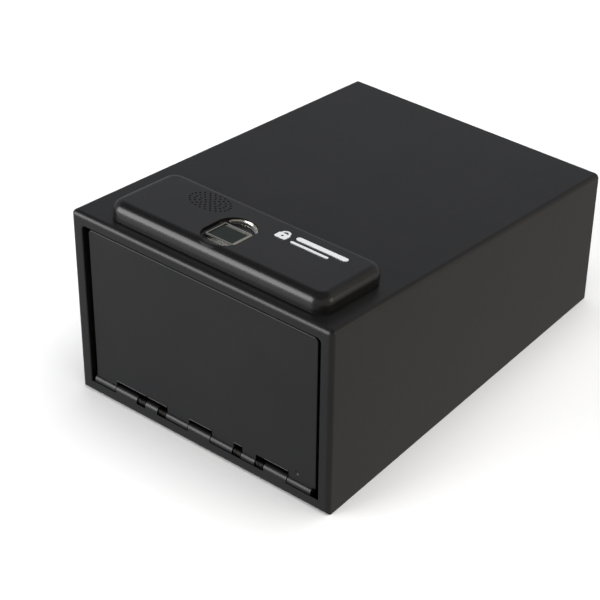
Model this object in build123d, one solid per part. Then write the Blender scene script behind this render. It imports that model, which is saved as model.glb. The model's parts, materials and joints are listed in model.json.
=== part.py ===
"""Small drop-door gun safe: a wedge-shaped steel cabinet whose front door swings down on a
knuckle hinge, with a fingerprint lock housing on its sloping top and a latch under it.

The origin is the middle of the base. +X is right seen from the front, -Y is the front, +Z is up.
Sizes are in millimetres.
"""

import math
import os

from build123d import *

os.makedirs("parts", exist_ok=True)

# ---- cabinet -------------------------------------------------------------------------------
WIDTH = 203.0
DEPTH = 292.0
FRONT_HEIGHT = 138.0
REAR_HEIGHT = 101.0
SHEET = 2.0
BEND_R = 3.2
RIM_WIDTH = 8.5
OPENING_TOP = 129.3
FLANGE_TOP = 8.6
LIP_DEPTH = 8.0
RIM_CHAMFER = 0.5

SIDE = WIDTH / 2
FRONT = -DEPTH / 2
REAR = DEPTH / 2
INNER = SIDE - SHEET
OPENING = SIDE - RIM_WIDTH
SLOPE = math.atan2(FRONT_HEIGHT - REAR_HEIGHT, DEPTH)

# ---- door and hinge --------------------------------------------------------------------------
DOOR_SIDE_GAP = 3.4
DOOR_TOP_GAP = 2.5
DOOR_HALF = OPENING - DOOR_SIDE_GAP
DOOR_TOP = OPENING_TOP - DOOR_TOP_GAP
DOOR_FACE = FRONT + 2.2
DOOR_SHEET = 2.5
DOOR_BACK = DOOR_FACE + DOOR_SHEET
DOOR_FLANGE = 8.0
DOOR_EDGE_R = 0.5
SLOT_TOP = 16.0
AXIS_Y = FRONT + 3.2
AXIS_Z = 10.2
BARREL_R = 3.0
PIN_R = 1.5
RUNNING_FIT = 0.05
# Barrel sections from left to right: (left end, right end).
DOOR_KNUCKLES = [(-90.0, -72.4), (-29.0, -11.2), (8.0, 25.4), (32.6, 43.2), (69.0, 87.0)]
BODY_KNUCKLES = [(-71.8, -53.8), (-46.4, -36.4), (-10.6, 7.4), (50.6, 68.4)]
LEFT_COILS = [(-53.4, -46.8), (-36.0, -29.4)]
RIGHT_COILS = [(26.0, 32.2), (43.6, 50.2)]
SPRING_WIRE_R = 0.45
COIL_R = 2.15
# Raised lips along the door's lower edge, over the fixed sections and the coils.
LIPS = [(-72.0, -46.9), (-45.5, -29.2), (-10.8, 7.6), (25.8, 32.4), (50.4, 68.6)]
LIP_R = 0.5

# ---- latch ---------------------------------------------------------------------------------------
SHAFT_Y = -106.0
SHAFT_Z = 121.0
SHAFT_R = 2.5
SLEEVE_R = 4.5
SLEEVE_HALF = 87.0
EAR_X = 88.0
HOOK_X = 45.0
TAIL_DROP = 14.0
BAR_Y = -124.5
BAR_Z = 112.0
BAR_R = 2.0

# ---- mechanism cover and what it holds -----------------------------------------------------------
COVER_HALF = 97.0
COVER_FRONT = -133.5
COVER_REAR = -54.0
COVER_BOTTOM = 93.0
COVER_WALL = 2.0
BATTERY_R = 7.1
BATTERY_PITCH = 14.9
BATTERY_Z = 103.0
BATTERY_MID = (54.0, -89.0)
BOARD_Z = 99.0
LOCK_Y = -92.0
LOCK_Z = 106.0
LOCK_R = 8.0
BUTTON_AT = (-50.0, -75.0)
PLUNGER_Z = SHAFT_Z - TAIL_DROP
KEY_PIVOT_Z = LOCK_Z + 15.0
CAM_X = -84.0
KEY_TAIL_X = -82.4

# ---- lock housing on the sloping top, in the slope's own frame -----------------------------------
HOUSING_LEFT = -79.0
HOUSING_RIGHT = 88.0
HOUSING_NEAR = 8.0
HOUSING_FAR = 70.0
HOUSING_HEIGHT = 12.5
HOUSING_WALL = 2.2
HOUSING_CORNER_R = 10.0
HOUSING_FILLET = 6.5
GASKET = 0.8
SENSOR_X = -1.5
SENSOR_NEAR = 21.0
SENSOR_FAR = 41.0
SENSOR_HALF = 11.0
BEZEL_WIDTH = 1.4
GRILLE_X = -34.0
GRILLE_ALONG = 52.0
MARK_X = 24.0
MARK_ALONG = 52.0

# ---- mounting ------------------------------------------------------------------------------------
BOLT_X = 60.0
BOLT_Y = 90.0
BOLT_HOLE_R = 3.5
JACK_X = 60.0
JACK_Z = 50.0

# The slope's frame: x is across, y runs back along the top from its front edge, z is its normal.
TOP = Plane(
    origin=(0, FRONT, FRONT_HEIGHT),
    x_dir=(1, 0, 0),
    z_dir=(0, math.sin(SLOPE), math.cos(SLOPE)),
)


# ---- helpers -------------------------------------------------------------------------------------
def block(x0, x1, y0, y1, z0, z1):
    """A box between two corners."""
    size = (x1 - x0, y1 - y0, z1 - z0)
    return Pos((x0 + x1) / 2, (y0 + y1) / 2, (z0 + z1) / 2) * Box(*size)


def rod_x(x0, x1, y, z, r):
    """A round bar along X."""
    return Pos((x0 + x1) / 2, y, z) * Rot(0, 90, 0) * Cylinder(r, x1 - x0)


def rod_y(y0, y1, x, z, r):
    """A round bar along Y."""
    return Pos(x, (y0 + y1) / 2, z) * Rot(90, 0, 0) * Cylinder(r, y1 - y0)


def rod_z(z0, z1, x, y, r):
    """A round bar along Z."""
    return Pos(x, y, (z0 + z1) / 2) * Cylinder(r, z1 - z0)


def prism(points, x0, x1):
    """A side outline, as (y, z) points, drawn out along X."""
    face = make_face(Polyline(*[(0, y, z) for y, z in points], close=True))
    return Pos(x0, 0, 0) * extrude(face, amount=x1 - x0, dir=(1, 0, 0))


def on_top(shape):
    """Carries a shape from the slope's frame to the cabinet's."""
    return TOP.location * shape


def top_z(y, depth=0.0):
    """Height of the plane that lies the given depth under the sloping top."""
    return FRONT_HEIGHT - depth / math.cos(SLOPE) - (y - FRONT) * math.tan(SLOPE)


def wedge(x0, x1, y0, y1, z0, depth):
    """The cabinet's side shape between two depths, its top the given depth under the slope."""
    return prism([(y0, z0), (y1, z0), (y1, top_z(y1, depth)), (y0, top_z(y0, depth))], x0, x1)


def rounded_plate(x0, x1, y0, y1, z0, z1, r):
    """A plate with rounded corners in plan."""
    plate = Pos((x0 + x1) / 2, (y0 + y1) / 2, z0) * extrude(RectangleRounded(x1 - x0, y1 - y0, r), z1 - z0)
    return plate


def edges_at(shape, test):
    """The edges whose middle passes a test."""
    return [edge for edge in shape.edges() if test(edge.position_at(0.5), edge)]


def near(a, b, tolerance=0.05):
    return abs(a - b) < tolerance


def moved_all(shape, places):
    """Copies of one shape at several places, as a group."""
    return Compound(children=[Pos(*place) * shape for place in places])


# ---- cabinet -------------------------------------------------------------------------------------
def body_shell():
    """Top, sides and front rim, folded and welded from sheet, open at the back and below."""
    outer = wedge(-SIDE, SIDE, FRONT, REAR, 0, 0)

    def folded(p, edge):
        top_front = near(p.Y, FRONT) and near(p.Z, FRONT_HEIGHT)
        front_side = near(p.Y, FRONT) and near(abs(p.X), SIDE)
        top_side = near(abs(p.X), SIDE) and near(p.Z, top_z(p.Y)) and not near(abs(p.Y), REAR)
        bottom_front = near(p.Y, FRONT) and near(p.Z, 0)
        return top_front or front_side or top_side or bottom_front

    outer = fillet(edges_at(outer, folded), BEND_R)
    shell = outer - wedge(-INNER, INNER, FRONT + SHEET, REAR + 5, -5, SHEET)
    opening = extrude(
        Plane.XZ.offset(-FRONT - SHEET - 1) * Pos(0, OPENING_TOP / 2 - 10) * RectangleRounded(
            2 * OPENING, OPENING_TOP + 20, 3
        ),
        SHEET + 3,
    )
    shell -= opening
    rim = edges_at(shell, lambda p, e: near(p.Y, FRONT) and abs(p.X) < OPENING + 0.1 and p.Z > BEND_R)
    shell = chamfer(rim, RIM_CHAMFER)
    lip_y0, lip_y1 = FRONT + SHEET - 0.2, FRONT + SHEET + LIP_DEPTH
    for sign in (-1, 1):
        x0, x1 = sorted((sign * OPENING, sign * (OPENING + SHEET)))
        shell += block(x0, x1, lip_y0, lip_y1, SHEET + 1, OPENING_TOP + SHEET)
    shell += block(-OPENING, OPENING, lip_y0, lip_y1, OPENING_TOP, OPENING_TOP + SHEET)
    for x, along in housing_screw_places():
        shell -= on_top(rod_z(-SHEET - 2, 2, x, along, 1.8))
    shell -= on_top(rod_z(-SHEET - 2, 2, SENSOR_X, 30, 7))
    shell -= rod_x(-SIDE - 2, -INNER + 2, LOCK_Y, LOCK_Z, LOCK_R + 0.2)
    shell -= rod_x(-SIDE - 2, -INNER + 2, LOCK_Y, KEY_PIVOT_Z, 1.5)
    return shell


def bottom_plate():
    """Floor with its front flange folded up, which carries the fixed hinge knuckles."""
    plate = block(-INNER, INNER, FRONT + SHEET, REAR, 0, SHEET)
    flange = block(-OPENING, OPENING, FRONT, FRONT + SHEET + 3, 0, FLANGE_TOP)
    flange = fillet(edges_at(flange, lambda p, e: near(p.Y, FRONT) and near(p.Z, 0)), BEND_R)
    hollow = block(-SIDE, SIDE, FRONT + SHEET, FRONT + 20, SHEET, FRONT_HEIGHT)
    hollow = fillet(edges_at(hollow, lambda p, e: near(p.Y, FRONT + SHEET) and near(p.Z, SHEET)), 2)
    plate += flange - hollow
    for side in (-1, 1):
        corner = [(OPENING, FRONT), (OPENING + RIM_CHAMFER, FRONT), (OPENING, FRONT + RIM_CHAMFER)]
        wedge_face = make_face(Polyline(*[(side * x, y) for x, y in corner], close=True))
        plate += Pos(0, 0, BEND_R) * extrude(wedge_face, FLANGE_TOP - BEND_R - 0.5)
    plate -= rod_x(-SIDE, SIDE, AXIS_Y, AXIS_Z, BARREL_R + 0.3)
    for x0, x1 in BODY_KNUCKLES:
        seat = block(x0, x1, FRONT, FRONT + SHEET, FLANGE_TOP - 4, AXIS_Z)
        plate += seat + rod_x(x0, x1, AXIS_Y, AXIS_Z, BARREL_R + 0.15)
    plate -= rod_x(-SIDE, SIDE, AXIS_Y, AXIS_Z, PIN_R + RUNNING_FIT)
    for x in (-BOLT_X, BOLT_X):
        for y in (-BOLT_Y, BOLT_Y):
            plate -= rod_z(-1, SHEET + 1, x, y, BOLT_HOLE_R)
    return plate


def rear_plate():
    """Back wall, welded in between the sides."""
    plate = wedge(-INNER, INNER, REAR - SHEET, REAR, SHEET, SHEET)
    return plate - rod_y(REAR - 5, REAR + 5, JACK_X, JACK_Z, 4.1)


def base_bolt_plugs():
    """Rubber grommets that line the four bolt holes."""
    ring = rod_z(SHEET, SHEET + 1.2, 0, 0, 6.5) - rod_z(0, 9, 0, 0, 4.0)
    return moved_all(ring, [(x, y, 0) for x in (-BOLT_X, BOLT_X) for y in (-BOLT_Y, BOLT_Y)])


def floor_pad():
    """Foam pad on the floor, with a clear hole over each bolt."""
    pad = rounded_plate(-INNER + 1.5, INNER - 1.5, -120, REAR - SHEET - 1, SHEET + 0.1, SHEET + 8, 4)
    for x in (-BOLT_X, BOLT_X):
        for y in (-BOLT_Y, BOLT_Y):
            pad -= rod_z(0, 20, x, y, 9)
    return pad


# ---- hinge and door ------------------------------------------------------------------------------
def hinge_pin():
    pin = rod_x(DOOR_KNUCKLES[0][0] + 0.5, DOOR_KNUCKLES[-1][1] - 0.5, AXIS_Y, AXIS_Z, PIN_R)
    return chamfer(pin.edges(), 0.3)


def wire_bar(start, end, r):
    """A straight run of wire with round ends."""
    (x0, y0, z0), (x1, y1, z1) = start, end
    run = (x1 - x0, y1 - y0, z1 - z0)
    bar = Plane(origin=start, z_dir=run) * extrude(Circle(r), math.dist(start, end))
    joint = Sphere(1.15 * r)
    return bar + Pos(*start) * joint + Pos(*end) * joint


def wire_run(points, r):
    """Straight runs of wire through a few points."""
    wire = wire_bar(points[0], points[1], r)
    for start, end in zip(points[1:-1], points[2:]):
        wire += wire_bar(start, end, r)
    return wire


def coil(x0, x1, start, turns, centre, coil_r, wire_r):
    """A close coil along X that starts at the given angle round its centre."""
    first, last = x0 + wire_r, x1 - wire_r
    path = Helix(pitch=(last - first) / abs(turns), height=last - first, radius=coil_r, lefthand=turns < 0)
    turned = Pos(first, *centre) * Rot(start, 0, 0) * Rot(0, 90, 0) * Rot(0, 0, 90)
    section = Plane(origin=path @ 0, z_dir=path % 0) * Circle(wire_r)
    return turned * sweep(section, path=path, is_frenet=True)


def hinge_spring(coils, middle_on_door):
    """Double torsion spring: two coils, a bridge between them and a leg at each end.

    One side's legs press on the back of the door, the other side's on the floor.
    """
    (a0, a1), (b0, b1) = coils
    r = SPRING_WIRE_R
    up_y = DOOR_BACK + r + 1.6
    floor_z = SHEET + r + 0.3
    rear_side = (AXIS_Y + COIL_R, AXIS_Z)
    low_side = (AXIS_Y, AXIS_Z - COIL_R)

    def door_leg(x):
        return [(x, *rear_side), (x, up_y, AXIS_Z + 6), (x, up_y, AXIS_Z + 16)]

    def floor_leg(x):
        return [(x, *low_side), (x, AXIS_Y + 6, floor_z), (x, AXIS_Y + 17, floor_z)]

    outer, inner = (floor_leg, door_leg) if middle_on_door else (door_leg, floor_leg)
    # A whole number of turns and a quarter takes a coil from its low side to its rear side.
    first_start, second_start = (-90, 0) if middle_on_door else (0, -90)
    first_turns, second_turns = (5.25, 5.75) if middle_on_door else (5.75, 5.25)
    wire = coil(a0, a1, first_start, first_turns, (AXIS_Y, AXIS_Z), COIL_R, r)
    wire += wire_run(outer(a0 + r), r)
    bridge = inner(a1 - r) + list(reversed(inner(b0 + r)))
    wire += wire_run(bridge, r)
    wire += coil(b0, b1, second_start, second_turns, (AXIS_Y, AXIS_Z), COIL_R, r)
    return wire + wire_run(outer(b1 - r), r)


def door_panel():
    """Door pan: flat face, folded sides and top, and hinge knuckles along the bottom."""
    face = Plane.XZ.offset(-DOOR_FACE) * Pos(0, (DOOR_TOP + SLOT_TOP) / 2)
    outline = RectangleRounded(2 * DOOR_HALF, DOOR_TOP - SLOT_TOP + 20, 3)
    pan = extrude(face * Pos(0, -10) * outline, -DOOR_FLANGE)
    pan = fillet(edges_at(pan, lambda p, e: near(p.Y, DOOR_FACE)), DOOR_EDGE_R)
    pan -= block(-DOOR_HALF - 1, DOOR_HALF + 1, FRONT, REAR, -20, SLOT_TOP)
    hollow = block(
        -DOOR_HALF + SHEET, DOOR_HALF - SHEET, DOOR_BACK, FRONT + 40, -20, DOOR_TOP - SHEET
    )
    upright = edges_at(hollow, lambda p, e: abs(p.X) > 80 and e.length > 100 and near(p.Y, DOOR_BACK))
    pan -= fillet(upright, 1.5)
    for x0, x1 in DOOR_KNUCKLES:
        left = -DOOR_HALF if x0 < -80 else x0
        right = DOOR_HALF if x1 > 80 else x1
        web = block(left, right, DOOR_FACE, DOOR_BACK, AXIS_Z + 1, SLOT_TOP + 1)
        if left != x0:
            web -= block(left - 1, x0, FRONT, REAR, 0, SLOT_TOP - 2)
        if right != x1:
            web -= block(x1, right + 1, FRONT, REAR, 0, SLOT_TOP - 2)
        pan += web
        pan += block(x0, x1, AXIS_Y, DOOR_BACK, AXIS_Z, AXIS_Z + 2) + rod_x(x0, x1, AXIS_Y, AXIS_Z, BARREL_R)
    pan = chamfer(edges_at(pan, lambda p, e: near(p.Y, DOOR_FACE) and near(p.Z, SLOT_TOP)), 0.6)
    pan -= rod_x(-SIDE, SIDE, AXIS_Y, AXIS_Z, PIN_R + RUNNING_FIT)
    for x0, x1 in LIPS:
        pan += rod_x(x0, x1, DOOR_FACE + 0.05, SLOT_TOP + LIP_R + 0.65, LIP_R)
    dimple = Pos(75.7, DOOR_FACE - 2.4, 19.5) * Sphere(3)
    return pan - dimple


def door_stiffener():
    """Pressed tray spot-welded to the back of the door."""
    y1 = DOOR_BACK + 8
    tray = block(-80, 80, DOOR_BACK, y1, 28, 90)
    tray = fillet(tray.edges().filter_by(Axis.Y), 8)
    tray = fillet(edges_at(tray, lambda p, e: near(p.Y, y1)), 3)
    inner = block(-78.8, 78.8, DOOR_BACK - 1, y1 - 1.2, 29.2, 88.8)
    return tray - fillet(inner.edges().filter_by(Axis.Y), 6.8)


def door_lining():
    """Foam sheet glued to the tray, so the door does not scratch what is inside."""
    y0 = DOOR_BACK + 8
    lining = block(-72, 72, y0, y0 + 4, 35, 83)
    return fillet(lining.edges().filter_by(Axis.Y), 5)


def striker(x):
    """Staple that the hook catches: a foot welded to the door, two legs and a crossbar."""
    foot = block(x - 13, x + 13, DOOR_BACK, DOOR_BACK + 2, 103, 121)
    legs = block(x - 9.5, x + 9.5, DOOR_BACK, BAR_Y + 3, BAR_Z - 3.5, BAR_Z + 3.5)
    legs = fillet(legs.edges().filter_by(Axis.X), 1.5)
    legs -= block(x - 7, x + 7, DOOR_BACK + 2, BAR_Y + 5, BAR_Z - 5, BAR_Z + 5)
    bar = rod_x(x - 9, x + 9, BAR_Y, BAR_Z, BAR_R)
    return fillet(foot.edges().filter_by(Axis.Y), 2) + legs + bar


# ---- latch ---------------------------------------------------------------------------------------
def hook_profile():
    """Side outline of one hook: hub end, arm and nose with a sloping front."""
    return [
        (0, 4.4), (-26, 3), (-27, 2), (-27, -2.5), (-25.3, -5), (-23, -5), (-23, -1), (-8, -1), (0, -4.4),
    ]


def latch_rocker():
    """Sleeve with two hooks, a tail for the solenoid and a tail for the key cam."""
    rocker = rod_x(-SLEEVE_HALF, SLEEVE_HALF, SHAFT_Y, SHAFT_Z, SLEEVE_R)
    outline = [(SHAFT_Y + y, SHAFT_Z + z) for y, z in hook_profile()]
    for x in (-HOOK_X, HOOK_X):
        rocker += prism(outline, x - 3, x + 3)
    for x, half in ((0, 4), (KEY_TAIL_X, 1.6)):
        rocker += block(x - half, x + half, SHAFT_Y - 2, SHAFT_Y + 3, SHAFT_Z - TAIL_DROP - 3, SHAFT_Z)
    return rocker - rod_x(-SIDE, SIDE, SHAFT_Y, SHAFT_Z, SHAFT_R + RUNNING_FIT)


def latch_shaft():
    shaft = rod_x(-EAR_X - 3.5, EAR_X + 3.5, SHAFT_Y, SHAFT_Z, SHAFT_R)
    for sign in (-1, 1):
        x = sign * (EAR_X + 2.3)
        shaft -= rod_x(x - 0.35, x + 0.35, SHAFT_Y, SHAFT_Z, 5) - rod_x(x - 1, x + 1, SHAFT_Y, SHAFT_Z, 1.9)
    return shaft


def shaft_clips():
    """Open retaining rings in the shaft's two grooves."""
    clip = rod_x(-0.3, 0.3, 0, 0, 4.5) - rod_x(-1, 1, 0, 0, 1.95) - block(-1, 1, -1.7, 1.7, -6, 0)
    return moved_all(clip, [(s * (EAR_X + 2.3), SHAFT_Y, SHAFT_Z) for s in (-1, 1)])


def latch_bracket():
    """Plate under the top with an ear at each end for the shaft and two straps for the solenoid."""
    plate = on_top(block(-EAR_X - 1.6, EAR_X + 1.6, 28, 80, -SHEET - 1.6, -SHEET - 0.1))
    for x in (-EAR_X - 1.6, EAR_X + 0.1):
        ear = wedge(x, x + 1.5, SHAFT_Y - 8, SHAFT_Y + 8, SHAFT_Z - 6, SHEET + 0.6)
        plate += ear
    for x in (-12.7, 11.2):
        plate += wedge(x, x + 1.5, -98, -68, 97, SHEET + 0.6)
    plate -= rod_x(-SIDE, SIDE, SHAFT_Y, SHAFT_Z, SHAFT_R + 0.02)
    for x, along in housing_screw_places():
        plate -= on_top(rod_z(-6, 1, x, along, 4))
    plate -= on_top(rod_z(-6, 1, SENSOR_X, 30, 8))
    return plate


def solenoid_frame():
    frame = block(-11, 11, -98, -68, 96, 118)
    return frame - block(-12, 12, -96.5, -69.5, 97.5, 119) - rod_y(-105, -60, 0, PLUNGER_Z, 3.3)


def solenoid_coil():
    coil = rod_y(-96.4, -69.6, 0, PLUNGER_Z, 9.3)
    coil = fillet(coil.edges(), 0.8)
    return coil - rod_y(-105, -60, 0, PLUNGER_Z, 3.0 + RUNNING_FIT)


def solenoid_plunger():
    """Push rod: it presses the rocker's tail forward to free the door."""
    rod = rod_y(-92, -61, 0, PLUNGER_Z, 3.0) + rod_y(-102.7, -91, 0, PLUNGER_Z, 1.5)
    return rod - (rod_y(-63.6, -62.6, 0, PLUNGER_Z, 5) - rod_y(-64, -62, 0, PLUNGER_Z, 2.2))


def plunger_clip():
    return rod_y(-63.5, -62.7, 0, PLUNGER_Z, 4.6) - rod_y(-64, -62, 0, PLUNGER_Z, 2.25)


def latch_spring():
    """Torsion spring on the sleeve, which turns the hooks down when the solenoid lets go."""
    r = 0.45
    coil_r = SLEEVE_R + r + 0.3
    wire = coil(21, 27, 180, 4.75, (SHAFT_Y, SHAFT_Z), coil_r, r)
    front = (21 + r, SHAFT_Y - coil_r)
    wire += wire_run([(*front, SHAFT_Z), (*front, SHAFT_Z - 7.5)], r)
    top = (27 - r, SHAFT_Y, SHAFT_Z + coil_r)
    return wire + wire_run([top, (27 - r, SHAFT_Y + 9, SHAFT_Z + coil_r)], r)


# ---- mechanism cover and its contents ------------------------------------------------------------
def mechanism_cover():
    """Tray under the top that hides the latch, with striker slots and a battery opening."""
    inner = COVER_WALL
    tray = wedge(-COVER_HALF, COVER_HALF, COVER_FRONT, COVER_REAR, COVER_BOTTOM, SHEET + 0.1)
    tray = fillet(edges_at(tray, lambda p, e: near(p.Z, COVER_BOTTOM)), 1.5)
    tray -= wedge(
        -COVER_HALF + inner, COVER_HALF - inner, COVER_FRONT + inner, COVER_REAR - inner,
        COVER_BOTTOM + inner, -5,
    )
    for x in (-HOOK_X, HOOK_X):
        tray -= block(x - 12, x + 12, COVER_FRONT - 1, COVER_FRONT + 3, 105, 127)
    x, y = BATTERY_MID
    tray -= block(x - 27, x + 27, y - 29, y + 29, COVER_BOTTOM - 1, COVER_BOTTOM + 3)
    for side in (-1, 1):
        web = sorted((x + side * 32.3, x + side * 34))
        lip = sorted((x + side * 30.3, x + side * 34))
        tray += block(*web, y - 34, y + 32, COVER_BOTTOM - 4, COVER_BOTTOM + 0.5)
        tray += block(*lip, y - 34, y + 32, COVER_BOTTOM - 4, COVER_BOTTOM - 2.5)
    tray += block(x - 34, x + 34, y - 35.5, y - 33.5, COVER_BOTTOM - 4, COVER_BOTTOM + 0.5)
    tray -= rod_x(-SIDE, -COVER_HALF + 3, LOCK_Y, LOCK_Z, 12.5)
    tray -= rod_z(COVER_BOTTOM - 2, COVER_BOTTOM + 4, *BUTTON_AT, 2.6)
    tray -= block(-12, 12, -128, -120, COVER_BOTTOM - 1, COVER_BOTTOM + 3)
    for place in cover_screw_places():
        tray -= rod_z(COVER_BOTTOM - 2, COVER_BOTTOM + 4, *place, 1.8)
        post = wedge(place[0] - 3, place[0] + 3, place[1] - 3, place[1] + 3, COVER_BOTTOM + 1, SHEET + 0.1)
        tray += post - rod_z(COVER_BOTTOM - 2, FRONT_HEIGHT, *place, 1.6)
    return tray


def cover_screws():
    """Screws that hold the tray up to the top."""
    screw = rod_z(COVER_BOTTOM - 1.6, COVER_BOTTOM - 0.05, 0, 0, 3.2)
    screw = fillet(edges_at(screw, lambda p, e: near(p.Z, COVER_BOTTOM - 1.6)), 0.8)
    screw -= rod_z(COVER_BOTTOM - 2, COVER_BOTTOM - 0.8, 0, 0, 1.0)
    screw += rod_z(COVER_BOTTOM - 0.3, 117, 0, 0, 1.5)
    return moved_all(screw, [(x, y, 0) for x, y in cover_screw_places()])


def battery_cover():
    """Sliding lid under the batteries, with grip ribs."""
    x, y = BATTERY_MID
    lid = block(x - 32, x + 32, y - 33, y + 31, COVER_BOTTOM - 2.2, COVER_BOTTOM - 0.3)
    for rib in range(5):
        start = y + 16 + rib * 2.6
        lid += block(x - 12, x + 12, start, start + 1.2, COVER_BOTTOM - 3, COVER_BOTTOM - 2)
    return lid


def battery_tray():
    """Moulded box for four cells, open below, with a saddle rib between cells."""
    x, y = BATTERY_MID
    base = COVER_BOTTOM + COVER_WALL
    tray = block(x - 31, x + 31, y - 32, y + 32, base + 0.1, base + 17)
    tray -= block(x - 29.5, x + 29.5, y - 30.5, y + 30.5, base - 1, base + 15.6)
    for row in range(1, 4):
        rib_y = y + (row - 2) * BATTERY_PITCH
        tray += block(x - 29.8, x + 29.8, rib_y - 0.5, rib_y + 0.5, base + 13.2, base + 16)
    return tray


def battery_places():
    x, y = BATTERY_MID
    return [(x, y + (row - 1.5) * BATTERY_PITCH) for row in range(4)]


def battery(row):
    """One AA cell; every second one is turned round."""
    x, y = battery_places()[row]
    flip = -1 if row % 2 else 1
    body = rod_x(-24.6, 23.6, 0, 0, BATTERY_R)
    body = fillet(body.edges(), 0.8) + rod_x(23.5, 25.2, 0, 0, 2.7)
    return Pos(x, y, BATTERY_Z) * Rot(0, 0, 0 if flip > 0 else 180) * body


def battery_contacts():
    """Plates at both ends of the cells: flat where a nub presses, with a spring where a base does."""
    x, y = BATTERY_MID
    parts = []
    for row, (_, cell_y) in enumerate(battery_places()):
        for side in (-1, 1):
            nub_end = side == (-1 if row % 2 else 1)
            plate_x = sorted((x + side * 28.8, x + side * 29.4))
            plate = block(*plate_x, cell_y - 5.5, cell_y + 5.5, BATTERY_Z - 6, BATTERY_Z + 6)
            if nub_end:
                bump = sorted((x + side * 25.4, x + side * 29))
                plate += rod_x(*bump, cell_y, BATTERY_Z, 2.2)
            else:
                plate += Pos(x + side * 26.9, cell_y, BATTERY_Z) * Rot(0, side * 90, 0) * Cone(2.2, 4.4, 3.8)
            parts.append(plate)
    return Compound(children=parts)


def control_board():
    """Printed board with its processor, relay, connectors and the switch under the learn button."""
    board = block(-76, -22, -116, -62, BOARD_Z, BOARD_Z + 1.6)
    top = BOARD_Z + 1.5
    board += block(-56, -44, -96, -84, top, top + 1.7)
    board += block(-38, -29, -83, -69, top, top + 9)
    board += block(-44, -29, -112, -106, top, top + 5)
    board += block(-69, -59, -74, -69, top, top + 6)
    board += rod_z(top, top + 8, -68, -106, 4) + rod_z(top, top + 8, -57, -106, 4)
    x, y = BUTTON_AT
    board += block(x - 3, x + 3, y - 3, y + 3, BOARD_Z - 2.2, BOARD_Z + 0.2)
    for x, y in board_post_places():
        board -= rod_z(BOARD_Z - 1, BOARD_Z + 3, x, y, 1.3)
    return board


def board_posts():
    """Stand-offs with screw heads that carry the board on the tray."""
    post = rod_z(COVER_BOTTOM + COVER_WALL, BOARD_Z, 0, 0, 2.8)
    post += rod_z(BOARD_Z - 1, BOARD_Z + 2.2, 0, 0, 1.2) + rod_z(BOARD_Z + 1.65, BOARD_Z + 3.2, 0, 0, 2.5)
    return moved_all(post, [(x, y, 0) for x, y in board_post_places()])


def learn_button():
    """Small button that is held to enrol a finger; its stem reaches the board's switch."""
    button = rod_z(COVER_BOTTOM - 1.6, BOARD_Z - 2.9, *BUTTON_AT, 2.5)
    return button + rod_z(COVER_BOTTOM + COVER_WALL + 0.1, COVER_BOTTOM + COVER_WALL + 0.7, *BUTTON_AT, 3.4)


def light_lens():
    """Clear strip over the interior light."""
    lens = block(-11.8, 11.8, -127.8, -120.2, COVER_BOTTOM - 1.2, COVER_BOTTOM + 2)
    lens = fillet(edges_at(lens, lambda p, e: near(p.Z, COVER_BOTTOM - 1.2)), 1)
    return lens + block(-13.5, 13.5, -129, -119, COVER_BOTTOM + 2, COVER_BOTTOM + 2.8)


def light_board():
    board = block(-13, 13, -129, -119, COVER_BOTTOM + 4.6, COVER_BOTTOM + 5.6)
    for x in (-7, 0, 7):
        board += block(x - 1.5, x + 1.5, -125.5, -122.5, COVER_BOTTOM + 3.4, COVER_BOTTOM + 4.8)
    return board


def door_bumpers():
    """Rubber buffers on the front of the tray, which the closed door rests against."""
    bumper = rod_y(DOOR_BACK + 0.3, COVER_FRONT, 0, 0, 3.5)
    bumper = fillet(edges_at(bumper, lambda p, e: near(p.Y, DOOR_BACK + 0.3)), 1)
    return moved_all(bumper, [(x, 0, 112) for x in (-76, 76)])


def housing_screw_places():
    return [(x, along) for x in (HOUSING_LEFT + 11, HOUSING_RIGHT - 11) for along in (19, 59)]


def cover_screw_places():
    return [(-92, -129), (92, -129), (-92, -62), (92, -62), (8, -61)]


def board_post_places():
    return [(x, y) for x in (-73, -25) for y in (-113, -65)]


# ---- override lock, in the left side -------------------------------------------------------------
def key_lock_barrel():
    """Threaded barrel with a round head outside the left side."""
    barrel = rod_x(-SIDE - 3, -SIDE, LOCK_Y, LOCK_Z, 10)
    barrel = fillet(edges_at(barrel, lambda p, e: near(p.X, -SIDE - 3)), 1)
    barrel += rod_x(-SIDE - 1, CAM_X - 0.4, LOCK_Y, LOCK_Z, LOCK_R)
    return barrel - rod_x(-SIDE - 5, 0, LOCK_Y, LOCK_Z, 5 + RUNNING_FIT)


def key_lock_nut():
    nut = Pos(-INNER, LOCK_Y, LOCK_Z) * Rot(0, 90, 0) * extrude(RegularPolygon(11, 6), 3)
    return nut - rod_x(-SIDE, 0, LOCK_Y, LOCK_Z, LOCK_R + 0.02)


def key_core():
    """Turning core with its key slot; its square tail carries the cam."""
    core = rod_x(-SIDE - 2.6, CAM_X - 0.2, LOCK_Y, LOCK_Z, 5)
    core += block(CAM_X - 0.5, CAM_X + 2, LOCK_Y - 2.5, LOCK_Y + 2.5, LOCK_Z - 2.5, LOCK_Z + 2.5)
    core -= block(-SIDE - 4, -SIDE + 6, LOCK_Y - 0.9, LOCK_Y + 0.9, LOCK_Z - 4, LOCK_Z + 4)
    return core - rod_x(CAM_X - 3, 0, LOCK_Y, LOCK_Z, 1.2)


def key_cam():
    """Flat cam that turns up to the rocker's tail."""
    cam = rod_x(CAM_X, CAM_X + 1.6, LOCK_Y, LOCK_Z, 5)
    cam += block(CAM_X, CAM_X + 1.6, LOCK_Y - 3, LOCK_Y + 3, LOCK_Z - 6.6, LOCK_Z)
    side = 2.53
    return cam - block(-SIDE, 0, LOCK_Y - side, LOCK_Y + side, LOCK_Z - side, LOCK_Z + side)


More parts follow.
